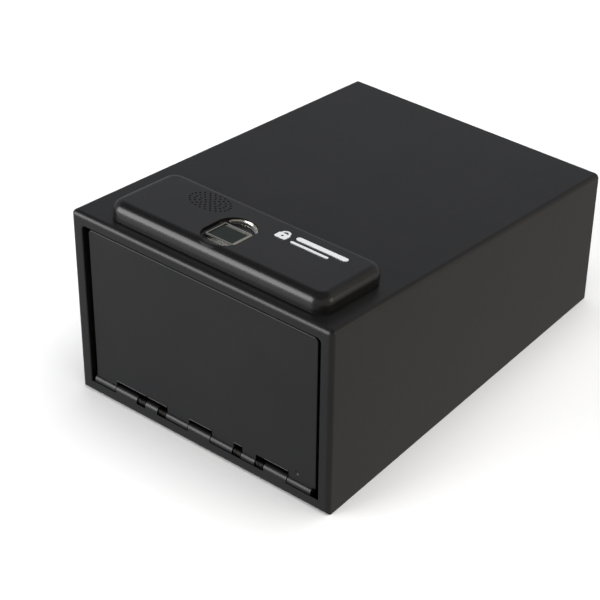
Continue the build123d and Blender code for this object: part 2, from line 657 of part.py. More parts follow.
def cam_screw():
    screw = rod_x(CAM_X + 2, CAM_X + 3.6, LOCK_Y, LOCK_Z, 3.4)
    screw = fillet(edges_at(screw, lambda p, e: near(p.X, CAM_X + 3.6)), 0.7)
    screw += rod_x(CAM_X - 2.5, CAM_X + 2.2, LOCK_Y, LOCK_Z, 1.15)
    return screw - block(CAM_X + 3, CAM_X + 5, LOCK_Y - 0.4, LOCK_Y + 0.4, LOCK_Z - 5, LOCK_Z + 5)


def key_cover():
    """Swivelling flap over the keyhole, on one rivet."""
    x0, x1 = -SIDE - 4.9, -SIDE - 3.3
    flap = rod_x(x0, x1, LOCK_Y, LOCK_Z, 10.5)
    flap += rod_x(x0, x1, LOCK_Y, KEY_PIVOT_Z, 5)
    flap += block(x0, x1, LOCK_Y - 5, LOCK_Y + 5, LOCK_Z, KEY_PIVOT_Z)
    flap = fillet(edges_at(flap, lambda p, e: near(p.X, x0)), 0.6)
    flap += rod_x(x1 - 0.5, -SIDE - 0.1, LOCK_Y, KEY_PIVOT_Z, 3.2)
    return flap - rod_x(-SIDE - 9, 0, LOCK_Y, KEY_PIVOT_Z, 1.5 + RUNNING_FIT)


def key_cover_rivet():
    rivet = rod_x(-SIDE - 6.1, -SIDE - 5, LOCK_Y, KEY_PIVOT_Z, 3)
    rivet = fillet(edges_at(rivet, lambda p, e: near(p.X, -SIDE - 6.1)), 0.6)
    return rivet + rod_x(-SIDE - 5.2, -INNER + 1, LOCK_Y, KEY_PIVOT_Z, 1.48)


# ---- back-up power jack, in the rear -------------------------------------------------------------
def power_jack():
    jack = rod_y(REAR, REAR + 1.6, JACK_X, JACK_Z, 5.5) + rod_y(REAR - 11, REAR + 1, JACK_X, JACK_Z, 4)
    jack -= rod_y(REAR - 8, REAR + 3, JACK_X, JACK_Z, 2.8)
    return jack + rod_y(REAR - 9, REAR - 1, JACK_X, JACK_Z, 0.9)


def power_jack_nut():
    turn = Plane(origin=(JACK_X, REAR - SHEET, JACK_Z), z_dir=(0, -1, 0))
    nut = turn * extrude(RegularPolygon(6.5, 6), 2.2)
    return nut - rod_y(REAR - 12, REAR + 3, JACK_X, JACK_Z, 4.02)


# ---- lock housing --------------------------------------------------------------------------------
def stadium(half, y0, y1):
    """Rounded finger channel in plan."""
    return Pos(SENSOR_X, (y0 + y1) / 2) * RectangleRounded(2 * half, y1 - y0, half - 0.01)


def lock_housing():
    """Moulded housing: a hollow bar with big top rounds, a finger channel and a speaker grille."""
    body = rounded_plate(
        HOUSING_LEFT, HOUSING_RIGHT, HOUSING_NEAR, HOUSING_FAR, GASKET, HOUSING_HEIGHT, HOUSING_CORNER_R
    )
    body = fillet(edges_at(body, lambda p, e: near(p.Z, HOUSING_HEIGHT)), HOUSING_FILLET)
    wall = HOUSING_WALL
    hollow = rounded_plate(
        HOUSING_LEFT + wall, HOUSING_RIGHT - wall, HOUSING_NEAR + wall, HOUSING_FAR - wall,
        -1, HOUSING_HEIGHT - wall, HOUSING_CORNER_R - wall,
    )
    hollow = fillet(edges_at(hollow, lambda p, e: near(p.Z, HOUSING_HEIGHT - wall)), HOUSING_FILLET - wall)
    body -= hollow
    body += extrude(Pos(0, 0, 6.8) * stadium(15.5, 9.5, 53), HOUSING_HEIGHT - 6.8 - 1)
    channel = extrude(Pos(0, 0, 9.3) * stadium(13.5, 11.5, 51), 6)
    body -= fillet(edges_at(channel, lambda p, e: near(p.Z, 9.3)), 1.3)
    w = BEZEL_WIDTH
    half = SENSOR_HALF - w
    body -= block(SENSOR_X - half, SENSOR_X + half, SENSOR_NEAR + w, SENSOR_FAR - w, 0, 12)
    for x, along in grille_holes():
        body -= rod_z(9, 14, x, along, 0.7)
    for x, along in housing_screw_places():
        body += rod_z(GASKET, HOUSING_HEIGHT - wall + 0.5, x, along, 3.2) - rod_z(0, 9, x, along, 1.45)
    return on_top(body)


def grille_holes():
    """Hole centres in rings, flattened to an oval."""
    places = [(GRILLE_X, GRILLE_ALONG)]
    for ring in range(1, 5):
        count = 6 * ring
        for step in range(count):
            angle = 2 * math.pi * step / count
            places.append((
                GRILLE_X + 3.6 * ring * math.cos(angle),
                GRILLE_ALONG + 2.5 * ring * math.sin(angle),
            ))
    return places


def housing_gasket():
    """Foam gasket between the housing and the top."""
    ring = rounded_plate(
        HOUSING_LEFT + 0.6, HOUSING_RIGHT - 0.6, HOUSING_NEAR + 0.6, HOUSING_FAR - 0.6, 0.02, GASKET, 9.4
    )
    ring -= rounded_plate(
        HOUSING_LEFT + 2.2, HOUSING_RIGHT - 2.2, HOUSING_NEAR + 2.2, HOUSING_FAR - 2.2, -1, GASKET + 1, 7.8
    )
    return on_top(ring)


def housing_screws():
    """Screws driven from inside the cabinet into the housing's bosses."""
    screw = rod_z(-SHEET - 1.8, -SHEET, 0, 0, 2.8)
    screw = fillet(edges_at(screw, lambda p, e: near(p.Z, -SHEET - 1.8)), 0.8)
    screw += rod_z(-SHEET - 0.5, 7.5, 0, 0, 1.4)
    screw -= rod_z(-SHEET - 3, -SHEET - 0.9, 0, 0, 0.9)
    return on_top(moved_all(screw, [(x, along, 0) for x, along in housing_screw_places()]))


def sensor_bezel():
    """Bright frame round the fingerprint window."""
    x0, x1 = SENSOR_X - SENSOR_HALF, SENSOR_X + SENSOR_HALF
    frame = rounded_plate(x0, x1, SENSOR_NEAR, SENSOR_FAR, 9.32, 11.2, 1.2)
    frame = chamfer(edges_at(frame, lambda p, e: near(p.Z, 11.2)), 0.6)
    w = BEZEL_WIDTH
    return on_top(frame - block(x0 + w, x1 - w, SENSOR_NEAR + w, SENSOR_FAR - w, 5, 15))


def sensor_window():
    """Dark glass over the sensor."""
    inset = BEZEL_WIDTH + 0.05
    x0, x1 = SENSOR_X - SENSOR_HALF + inset, SENSOR_X + SENSOR_HALF - inset
    return on_top(block(x0, x1, SENSOR_NEAR + inset, SENSOR_FAR - inset, 8.4, 10.4))


def sensor_module():
    """Sensor body under the window, with the socket for its lead."""
    module = block(SENSOR_X - 8.6, SENSOR_X + 8.6, SENSOR_NEAR + 2.3, SENSOR_FAR - 2.3, 2.6, 8.38)
    module += block(SENSOR_X - 5, SENSOR_X + 5, 27, 33, 1.2, 3)
    return on_top(module)


def sensor_lead():
    """Flat lead from the sensor through the top, down beside the solenoid to the board."""
    drop = on_top(block(SENSOR_X - 4.5, SENSOR_X + 4.5, 31.6, 32.4, -6, 1.15))
    y = (TOP.location * Pos(0, 32, -6)).position.Y
    run = block(-20.5, SENSOR_X + 4.5, y - 0.5, y + 0.5, 122, 129)
    fall = block(-24, -20.4, y - 0.5, y + 0.5, 105.5, 129)
    return drop + run + fall


def speaker():
    """Small speaker behind the grille."""
    body = Pos(GRILLE_X, GRILLE_ALONG, 0) * Cylinder(10, 3.6)
    body = Pos(0, 0, 6.4) * fillet(body.edges(), 0.6) + rod_z(3.0, 5.2, GRILLE_X, GRILLE_ALONG, 5)
    return on_top(body)


def speaker_mesh():
    """Fine cloth behind the grille holes."""
    disc = Pos(GRILLE_X, GRILLE_ALONG, HOUSING_HEIGHT - HOUSING_WALL - 0.7)
    return on_top(disc * extrude(Ellipse(16.5, 11.5), 0.65))


def emblem():
    """Plain padlock sign with a broad bar and a thin bar beside it, on the housing's top."""
    z0, z1 = HOUSING_HEIGHT + 0.01, HOUSING_HEIGHT + 0.4
    x, along = MARK_X, MARK_ALONG
    lock = rounded_plate(x - 4.2, x + 4.2, along - 5, along + 1.2, z0, z1, 1)
    arch = rod_z(z0, z1, x, along + 1.6, 3.2) - rod_z(z0 - 1, z1 + 1, x, along + 1.6, 1.9)
    lock += arch - block(x - 5, x + 5, along - 6, along + 1, z0 - 1, z1 + 1)
    lock -= rod_z(z0 - 1, z1 + 1, x, along - 1.8, 1.0)
    broad = rounded_plate(x + 8, x + 46, along + 0.2, along + 4.2, z0, z1, 1.9)
    thin = rounded_plate(x + 8, x + 36, along - 5, along - 3, z0, z1, 0.95)
    return on_top(Compound(children=[lock, broad, thin]))


# ---- write one file for each piece ---------------------------------------------------------------
PARTS = {
    "body_shell": body_shell,
    "bottom_plate": bottom_plate,
    "rear_plate": rear_plate,
    "bolt_grommets": base_bolt_plugs,
    "floor_pad": floor_pad,
    "hinge_pin": hinge_pin,
    "hinge_spring_left": lambda: hinge_spring(LEFT_COILS, True),
    "hinge_spring_right": lambda: hinge_spring(RIGHT_COILS, False),
    "door_panel": door_panel,
    "door_stiffener": door_stiffener,
    "door_lining": door_lining,
    "striker_left": lambda: striker(-HOOK_X),
    "striker_right": lambda: striker(HOOK_X),
    "door_bumpers": door_bumpers,
    "latch_rocker": latch_rocker,
    "latch_shaft": latch_shaft,
    "shaft_clips": shaft_clips,
    "latch_bracket": latch_bracket,
    "latch_spring": latch_spring,
    "solenoid_frame": solenoid_frame,
    "solenoid_coil": solenoid_coil,
    "solenoid_plunger": solenoid_plunger,
    "plunger_clip": plunger_clip,
    "mechanism_cover": mechanism_cover,
    "cover_screws": cover_screws,
    "battery_cover": battery_cover,
    "battery_tray": battery_tray,
    "battery_contacts": battery_contacts,
    "battery_1": lambda: battery(0),
    "battery_2": lambda: battery(1),
    "battery_3": lambda: battery(2),
    "battery_4": lambda: battery(3),
    "control_board": control_board,
    "board_posts": board_posts,
    "learn_button": learn_button,
    "light_lens": light_lens,
    "light_board": light_board,
    "key_lock_barrel": key_lock_barrel,
    "key_lock_nut": key_lock_nut,
    "key_core": key_core,
    "key_cam": key_cam,
    "cam_screw": cam_screw,
    "key_cover": key_cover,
    "key_cover_rivet": key_cover_rivet,
    "power_jack": power_jack,
    "power_jack_nut": power_jack_nut,
    "lock_housing": lock_housing,
    "housing_gasket": housing_gasket,
    "housing_screws": housing_screws,
    "sensor_bezel": sensor_bezel,
    "sensor_window": sensor_window,
    "sensor_module": sensor_module,
    "sensor_lead": sensor_lead,
    "speaker": speaker,
    "speaker_mesh": speaker_mesh,
    "emblem": emblem,
}

for name, make in PARTS.items():
    export_step(make(), f"parts/{name}.step")
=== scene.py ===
"""Looks for the drop-door gun safe: materials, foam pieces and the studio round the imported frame.

Lengths are in metres, in the frame's own axes: +X right seen from the front, -Y front, +Z up.
"""

import json
import math

import bmesh
import bpy
from mathutils import Matrix, Vector


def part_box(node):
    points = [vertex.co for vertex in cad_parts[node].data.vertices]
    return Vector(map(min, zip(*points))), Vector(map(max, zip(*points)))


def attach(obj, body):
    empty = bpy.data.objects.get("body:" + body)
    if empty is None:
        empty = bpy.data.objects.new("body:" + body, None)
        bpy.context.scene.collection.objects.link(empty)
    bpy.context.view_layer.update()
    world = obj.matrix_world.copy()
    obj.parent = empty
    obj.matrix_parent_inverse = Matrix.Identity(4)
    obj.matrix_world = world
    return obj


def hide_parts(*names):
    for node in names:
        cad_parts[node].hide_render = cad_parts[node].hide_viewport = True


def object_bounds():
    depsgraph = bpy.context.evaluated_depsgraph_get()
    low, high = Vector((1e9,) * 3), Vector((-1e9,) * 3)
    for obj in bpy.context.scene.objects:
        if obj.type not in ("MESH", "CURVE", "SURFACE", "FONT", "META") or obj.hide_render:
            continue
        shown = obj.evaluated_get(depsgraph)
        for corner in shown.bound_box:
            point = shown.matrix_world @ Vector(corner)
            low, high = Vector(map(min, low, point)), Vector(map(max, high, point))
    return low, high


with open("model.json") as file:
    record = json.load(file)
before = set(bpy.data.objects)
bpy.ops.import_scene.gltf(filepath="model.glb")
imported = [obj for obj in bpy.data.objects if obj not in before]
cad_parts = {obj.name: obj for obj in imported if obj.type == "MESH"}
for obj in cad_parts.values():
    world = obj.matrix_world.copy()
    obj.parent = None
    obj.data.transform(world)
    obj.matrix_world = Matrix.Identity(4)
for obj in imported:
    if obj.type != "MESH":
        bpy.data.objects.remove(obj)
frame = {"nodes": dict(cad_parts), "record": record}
cad_box = [list(corner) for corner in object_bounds()]
MM = 0.001

# ---- the sloping top, and the finger channel in the lock housing on it --------------------------
DEPTH = 292 * MM
FRONT_HEIGHT = 138 * MM
REAR_HEIGHT = 101 * MM
FRONT_EDGE = (-DEPTH / 2, FRONT_HEIGHT)
SLOPE = math.atan2(FRONT_HEIGHT - REAR_HEIGHT, DEPTH)
CHANNEL_X = -1.5 * MM
CHANNEL_END = 37.5 * MM
CHANNEL_R = 13.5 * MM
CHANNEL_FLOOR = 9.3 * MM
REST_START = 34
REST_SWEEP = 112

# ---- heights and half lengths where a finish changes ---------------------------------------------
BOARD_MIDDLE = 99.8 * MM
BOARD_HALF = 0.9 * MM
JACKET_END = 10 * MM
RIM_START = 23.4 * MM

# ---- foam pads ---------------------------------------------------------------------------------
PAD_STEP = 2.5 * MM
BOLT_DIMPLE_R = 9 * MM
DIMPLE_WIDTH = 2 * MM
DIMPLE_DEPTH = 1.5 * MM

# ---- camera, as an orbit round the middle of the cabinet ---------------------------------------
AZIMUTH = 39.07
ELEVATION = 36.18
DISTANCE = 1.275
SIDEWAYS = -0.0493
UPWARDS = -0.0399
LENS = 116.72
SHIFT = (0.0525, 0.0287)


# ---- shader helpers --------------------------------------------------------------------------------
class Shader:
    """One Principled material, built node by node."""

    def __init__(self, name):
        self.material = bpy.data.materials.new(name)
        self.material.use_nodes = True
        self.tree = self.material.node_tree
        self.surface = self.tree.nodes["Principled BSDF"]
        self.place = self.add("ShaderNodeTexCoord").outputs["Object"]

    def add(self, kind, **values):
        """A node with its inputs set by name."""
        node = self.tree.nodes.new(kind)
        for name, value in values.items():
            self.put(node, name.replace("_", " "), value)
        return node

    def put(self, node, key, value):
        """Sets an input to a number or a colour, or links a socket to it."""
        socket = node.inputs[key]
        if isinstance(value, bpy.types.NodeSocket):
            self.tree.links.new(value, socket)
        elif socket.type == "RGBA" and len(value) == 3:
            socket.default_value = (*value, 1)
        else:
            socket.default_value = value

    def finish(self, **values):
        for name, value in values.items():
            self.put(self.surface, name.replace("_", " "), value)
        return self.material

    def noise(self, size, detail=3.0, roughness=0.55, stretch=None):
        """Noise with features about the given size in metres."""
        where = self.place
        if stretch:
            where = self.add("ShaderNodeMapping", Vector=where, Scale=stretch).outputs[0]
        node = self.add(
            "ShaderNodeTexNoise", Vector=where, Scale=1 / size, Detail=detail, Roughness=roughness
        )
        return node.outputs["Fac"]

    def cells(self, size, feature="F1", randomness=1.0):
        node = self.add("ShaderNodeTexVoronoi", Vector=self.place, Scale=1 / size, Randomness=randomness)
        node.feature = feature
        return node.outputs["Distance"]

    def spread(self, value, low, high, start=0.3, end=0.7):
        """Stretches a value from one range to another."""
        node = self.add(
            "ShaderNodeMapRange", Value=value, From_Min=start, From_Max=end, To_Min=low, To_Max=high
        )
        return node.outputs["Result"]

    def math(self, operation, first, second=0.0):
        node = self.tree.nodes.new("ShaderNodeMath")
        node.operation = operation
        self.put(node, 0, first)
        self.put(node, 1, second)
        return node.outputs[0]

    def blend(self, share, first, second):
        """A colour between two, by share."""
        node = self.tree.nodes.new("ShaderNodeMix")
        node.data_type = "RGBA"
        self.put(node, 0, share)
        self.put(node, 6, first)
        self.put(node, 7, second)
        return node.outputs[2]

    def axis(self, name):
        return self.add("ShaderNodeSeparateXYZ", Vector=self.place).outputs[name]

    def bump(self, height, depth, strength=1.0, under=None):
        """Relief of the given depth in metres, over another bump if one is given."""
        node = self.add("ShaderNodeBump", Height=height, Distance=depth, Strength=strength)
        if under:
            self.tree.links.new(under, node.inputs["Normal"])
        return node.outputs["Normal"]


def grey(level):
    return (level, level, level)


# ---- materials ---------------------------------------------------------------------------------------
def powder_coat():
    """Satin black powder coat: fine orange peel, a little uneven in sheen."""
    s = Shader("powder_coat")
    peel = s.noise(0.9 * MM, 2.0)
    waves = s.noise(7 * MM, 2.0)
    cloud = s.noise(60 * MM, 3.0)
    fine = s.bump(peel, 0.035 * MM)
    normal = s.bump(waves, 0.05 * MM, under=fine)
    colour = s.blend(s.spread(cloud, 0, 1), (0.0050, 0.0050, 0.0052), (0.0072, 0.0070, 0.0070))
    return s.finish(
        Base_Color=colour, Roughness=s.spread(peel, 0.34, 0.42), Specular_IOR_Level=0.46, Normal=normal
    )


def housing_plastic():
    """Semi-gloss black moulding with a faint spark-eroded grain."""
    s = Shader("housing_plastic")
    grain = s.noise(0.35 * MM, 2.0)
    cloud = s.noise(25 * MM, 3.0)
    colour = s.blend(s.spread(cloud, 0, 1), grey(0.0052), (0.0072, 0.0070, 0.0074))
    return s.finish(
        Base_Color=colour, Roughness=s.spread(grain, 0.25, 0.31), Specular_IOR_Level=0.5,
        Normal=s.bump(grain, 0.012 * MM),
    )


def inner_plastic():
    """Matt black moulding with a coarser grain."""
    s = Shader("inner_plastic")
    grain = s.cells(0.5 * MM)
    cloud = s.noise(30 * MM)
    colour = s.blend(s.spread(cloud, 0, 1), grey(0.018), grey(0.026))
    return s.finish(
        Base_Color=colour, Roughness=s.spread(grain, 0.5, 0.62, 0, 1), Normal=s.bump(grain, 0.03 * MM)
    )


def red_plastic():
    s = Shader("red_plastic")
    cloud = s.noise(2 * MM)
    colour = s.blend(s.spread(cloud, 0, 1), (0.42, 0.012, 0.01), (0.52, 0.02, 0.014))
    return s.finish(Base_Color=colour, Roughness=s.spread(cloud, 0.28, 0.36), Normal=s.bump(cloud, 0.01 * MM))


def metal(name, low, high, rough, grain=(1, 1, 1), depth=0.006):
    """Bare or plated metal, its grain drawn out along one axis."""
    s = Shader(name)
    lines = s.noise(0.8 * MM, 4.0, 0.6, stretch=grain)
    cloud = s.noise(9 * MM, 3.0)
    colour = s.blend(s.spread(cloud, 0, 1), low, high)
    return s.finish(
        Base_Color=colour, Metallic=1.0, Roughness=s.spread(lines, rough - 0.06, rough + 0.08),
        Normal=s.bump(lines, depth * MM),
    )


def zinc_steel():
    """Zinc plate with its pale yellow-blue cast in patches."""
    s = Shader("zinc_steel")
    patch = s.noise(6 * MM, 4.0)
    grain = s.cells(1.6 * MM)
    colour = s.blend(s.spread(patch, 0, 1), (0.52, 0.53, 0.55), (0.62, 0.60, 0.52))
    return s.finish(
        Base_Color=colour, Metallic=1.0, Roughness=s.spread(grain, 0.3, 0.45, 0, 1),
        Normal=s.bump(patch, 0.01 * MM),
    )


def sensor_glass():
    """Dark polished window, a little green, with faint finger grease."""
    s = Shader("sensor_glass")
    grease = s.noise(4 * MM, 4.0, 0.7)
    colour = s.blend(s.spread(grease, 0, 1), (0.006, 0.009, 0.007), (0.010, 0.014, 0.011))
    return s.finish(Base_Color=colour, Roughness=s.spread(grease, 0.08, 0.2), Specular_IOR_Level=0.2)


def clear_lens():
    s = Shader("clear_lens")
    frost = s.noise(0.6 * MM)
    return s.finish(
        Base_Color=(0.93, 0.95, 0.96), Transmission_Weight=0.85, IOR=1.49,
        Roughness=s.spread(frost, 0.18, 0.3), Normal=s.bump(frost, 0.02 * MM),
    )


def rubber():
    s = Shader("rubber")
    grain = s.noise(0.4 * MM)
    colour = s.blend(s.spread(grain, 0, 1), grey(0.012), grey(0.02))
    return s.finish(Base_Color=colour, Roughness=s.spread(grain, 0.7, 0.85), Normal=s.bump(grain, 0.03 * MM))


def foam():
    """Open-cell foam: small pits between thin walls, with painted shade darkening the bottom of each pit."""
    s = Shader("foam")
    pits = s.cells(1.1 * MM)
    small = s.cells(0.45 * MM)
    cloud = s.noise(14 * MM)
    foam_tone = s.blend(s.spread(cloud, 0, 1), grey(0.02), grey(0.03))
    # Painted shade: near black at the bottom of each pit, fading to the foam's own tone on the walls.
    colour = s.blend(s.spread(pits, 0, 1, 0.05, 0.5), grey(0.006), foam_tone)
    normal = s.bump(small, 0.12 * MM, under=s.bump(pits, 0.35 * MM))
    return s.finish(Base_Color=colour, Roughness=s.spread(pits, 0.95, 0.85, 0, 1), Specular_IOR_Level=0.2,
                    Sheen_Weight=0.15, Normal=normal)


def mesh_cloth():
    s = Shader("mesh_cloth")
    weave = s.cells(0.4 * MM, randomness=0.0)
    colour = s.blend(s.spread(weave, 0, 1, 0.1, 0.5), grey(0.02), grey(0.004))
    return s.finish(Base_Color=colour, Roughness=s.spread(weave, 0.8, 0.9), Normal=s.bump(weave, 0.05 * MM))


def black_screws():
    s = Shader("black_screws")
    oxide = s.noise(0.7 * MM, 4.0)
    colour = s.blend(s.spread(oxide, 0, 1), grey(0.02), (0.045, 0.04, 0.038))
    return s.finish(
        Base_Color=colour, Metallic=0.8, Roughness=s.spread(oxide, 0.35, 0.5),
        Normal=s.bump(oxide, 0.01 * MM),
    )


def circuit_board():
    """Green solder mask with copper tracks under it; whatever stands on the board is black."""
    s = Shader("circuit_board")
    tracks = s.add("ShaderNodeTexBrick", Vector=s.place, Scale=180.0, Mortar_Size=0.035)
    track = s.spread(tracks.outputs["Fac"], 0, 1, 0, 1)
    grain = s.noise(0.8 * MM)
    mask = s.blend(track, (0.008, 0.075, 0.03), (0.02, 0.14, 0.055))
    above = s.math("SUBTRACT", s.axis("Z"), BOARD_MIDDLE)
    is_part = s.math("GREATER_THAN", s.math("ABSOLUTE", above), BOARD_HALF)
    colour = s.blend(is_part, mask, grey(0.018))
    return s.finish(Base_Color=colour, Roughness=s.spread(grain, 0.32, 0.42), Normal=s.bump(track, 0.03 * MM))


def coil_tape():
    s = Shader("coil_tape")
    wraps = s.noise(0.6 * MM, 2.0, stretch=(0.2, 1, 0.2))
    colour = s.blend(s.spread(wraps, 0, 1), (0.33, 0.16, 0.02), (0.5, 0.27, 0.05))
    return s.finish(Base_Color=colour, Roughness=s.spread(wraps, 0.3, 0.4), Normal=s.bump(wraps, 0.05 * MM))


def ribbon():
    """Flat lead: parallel wires under a pale jacket."""
    s = Shader("ribbon")
    wires = s.math("SINE", s.math("MULTIPLY", s.axis("X"), 2 * math.pi / (1.0 * MM)))
    colour = s.blend(s.spread(wires, 0, 1, -1, 1), (0.42, 0.42, 0.40), (0.55, 0.55, 0.52))
    return s.finish(
        Base_Color=colour, Roughness=s.spread(wires, 0.4, 0.5, -1, 1), Normal=s.bump(wires, 0.1 * MM)
    )


def battery_jacket():
    """Cell jacket: dark, with a copper-coloured end and a metal rim, and no text."""
    s = Shader("battery_jacket")
    low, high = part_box("battery_tray")
    middle = (low.x + high.x) / 2
    offset = s.math("SUBTRACT", s.axis("X"), middle)
    end = s.math("GREATER_THAN", offset, JACKET_END)
    rim = s.math("GREATER_THAN", s.math("ABSOLUTE", offset), RIM_START)
    sheen = s.noise(3 * MM)
    colour = s.blend(end, (0.012, 0.013, 0.016), (0.55, 0.25, 0.1))
    colour = s.blend(rim, colour, (0.6, 0.6, 0.58))
    return s.finish(Base_Color=colour, Metallic=rim, Roughness=s.spread(sheen, 0.25, 0.35),
                    Normal=s.bump(sheen, 0.005 * MM))


def silver_print():
    """Silver foil sign on the housing."""
    s = Shader("silver_print")
    flake = s.noise(0.25 * MM, 3.0)
    colour = s.blend(s.spread(flake, 0, 1), (0.74, 0.75, 0.76), (0.9, 0.9, 0.91))
    return s.finish(
        Base_Color=colour, Metallic=0.35, Roughness=s.spread(flake, 0.38, 0.5),
        Normal=s.bump(flake, 0.01 * MM),
    )


MATERIALS = {
    "powder_coat": powder_coat(),
    "housing_plastic": housing_plastic(),
    "inner_plastic": inner_plastic(),
    "red_plastic": red_plastic(),
    "bright_steel": metal("bright_steel", (0.56, 0.56, 0.55), (0.66, 0.66, 0.64), 0.25, grain=(0.1, 1, 1)),
    "spring_steel": metal("spring_steel", (0.030, 0.028, 0.027), (0.060, 0.056, 0.052), 0.36),
    "zinc_steel": zinc_steel(),
    "nickel": metal("nickel", (0.60, 0.58, 0.54), (0.70, 0.68, 0.64), 0.2),
    "brass": metal("brass", (0.62, 0.43, 0.16), (0.74, 0.54, 0.24), 0.28),
    "silver_bezel": metal("silver_bezel", (0.50, 0.49, 0.45), (0.60, 0.59, 0.54), 0.22, depth=0.0006),
    "silver_print": silver_print(),
    "sensor_glass": sensor_glass(),
    "clear_lens": clear_lens(),
    "rubber": rubber(),
    "foam": foam(),
    "mesh_cloth": mesh_cloth(),
    "black_screws": black_screws(),
    "circuit_board": circuit_board(),
    "coil_tape": coil_tape(),
    "ribbon": ribbon(),
    "battery_jacket": battery_jacket(),
}

for subpart in frame["record"]["subparts"]:
    node = frame["nodes"][subpart["node"]]
    node.data.materials.clear()
    node.data.materials.append(MATERIALS[subpart["material_slot"]])


# ---- new pieces ------------------------------------------------------------------------------------------
def new_piece(name, mesh, slot, body):
    """An object of one mesh that rides on a body and takes its finish from a slot."""
    piece = bpy.data.objects.new(name, mesh)
    bpy.context.collection.objects.link(piece)
    mesh.materials.append(MATERIALS[slot])
    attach(piece, body)
    return piece


def foam_pad(name, low, high, up, corner, soft, holes=()):
    """A cut foam pad: square below, soft rounded edges above, and dimples where a bolt goes through.

    up is the axis that the pad's face looks along. The face is a grid whose height falls away
    towards the outline and towards each hole.
    """
    across, along = [i for i in range(3) if i != abs(up) - 1]
    axis = abs(up) - 1
    face = high[axis] if up > 0 else low[axis]
    back = low[axis] if up > 0 else high[axis]
    nu = max(2, round((high[across] - low[across]) / PAD_STEP))
    nv = max(2, round((high[along] - low[along]) / PAD_STEP))
    mesh = bpy.data.meshes.new(name)
    bm = bmesh.new()

    def inset(u, v):
        """Distance in from the rounded outline."""
        cu, cv = (low[across] + high[across]) / 2, (low[along] + high[along]) / 2
        du = abs(u - cu) - ((high[across] - low[across]) / 2 - corner)
        dv = abs(v - cv) - ((high[along] - low[along]) / 2 - corner)
        outside = math.hypot(max(du, 0), max(dv, 0))
        return corner - outside - min(max(du, dv), 0)

    def point(u, v, w):
        place = [0, 0, 0]
        place[across], place[along], place[axis] = u, v, w
        return place

    rows = []
    for i in range(nu + 1):
        row = []
        for j in range(nv + 1):
            u = low[across] + (high[across] - low[across]) * i / nu
            v = low[along] + (high[along] - low[along]) * j / nv
            depth = inset(u, v)
            if depth < 0:
                cu = min(max(u, low[across] + corner), high[across] - corner)
                cv = min(max(v, low[along] + corner), high[along] - corner)
                scale = corner / math.hypot(u - cu, v - cv)
                u, v, depth = cu + (u - cu) * scale, cv + (v - cv) * scale, 0
            fall = max(0, 1 - depth / soft)
            drop = soft * (1 - math.sqrt(max(0, 1 - fall * fall)))
            for hu, hv, hr in holes:
                gap = math.hypot(u - hu, v - hv)
                if gap < hr:
                    u, v = hu + (u - hu) * hr / max(gap, 1e-6), hv + (v - hv) * hr / max(gap, 1e-6)
                    gap = hr
                near = max(0, 1 - (gap - hr) / DIMPLE_WIDTH)
                drop = max(drop, near * near * DIMPLE_DEPTH)
            row.append(bm.verts.new(point(u, v, face - math.copysign(drop, up))))
        rows.append(row)
    for i in range(nu):
        for j in range(nv):
            bm.faces.new((rows[i][j], rows[i + 1][j], rows[i + 1][j + 1], rows[i][j + 1]))
    bmesh.ops.remove_doubles(bm, verts=bm.verts, dist=0.05 * MM)
    for sliver in [f for f in bm.faces if f.calc_area() < 1e-9]:
        bm.faces.remove(sliver)
    inside = [f for f in bm.faces if any(
        math.hypot(f.calc_center_median()[across] - hu, f.calc_center_median()[along] - hv) < hr * 0.93
        for hu, hv, hr in holes)]
    bmesh.ops.delete(bm, geom=inside, context="FACES")
    border = [e for e in bm.edges if e.is_boundary]
    grown = bmesh.ops.extrude_edge_only(bm, edges=border)
    for vert in [g for g in grown["geom"] if isinstance(g, bmesh.types.BMVert)]:
        vert.co[axis] = back
    bmesh.ops.recalc_face_normals(bm, faces=bm.faces)
    bm.to_mesh(mesh)
    bm.free()
    for polygon in mesh.polygons:
        polygon.use_smooth = True
    return mesh


def floor_foam():
    low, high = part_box("floor_pad")
    bolts = frame["record"]["mounts"][0]["dims"]
    holes = [
        (sx * bolts["spacing_x_mm"] / 2 * MM, sy * bolts["spacing_y_mm"] / 2 * MM, BOLT_DIMPLE_R)
        for sx in (-1, 1) for sy in (-1, 1)
    ]
    mesh = foam_pad("floor_foam", low, high, 3, 4 * MM, 2.2 * MM, holes)
    piece = new_piece("floor_foam", mesh, "foam", "cabinet")
    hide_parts("floor_pad")


def door_foam():
    low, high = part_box("door_lining")
    mesh = foam_pad("door_foam", low, high, 2, 5 * MM, 1.8 * MM)
    piece = new_piece("door_foam", mesh, "foam", "door")
    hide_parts("door_lining")


def on_slope(x, along, height):
    """A point given across the sloping top, back along it from its front edge, and up from it."""
    y, z = FRONT_EDGE
    c, s = math.cos(SLOPE), math.sin(SLOPE)
    return (x, y + along * c + height * s, z - along * s + height * c)


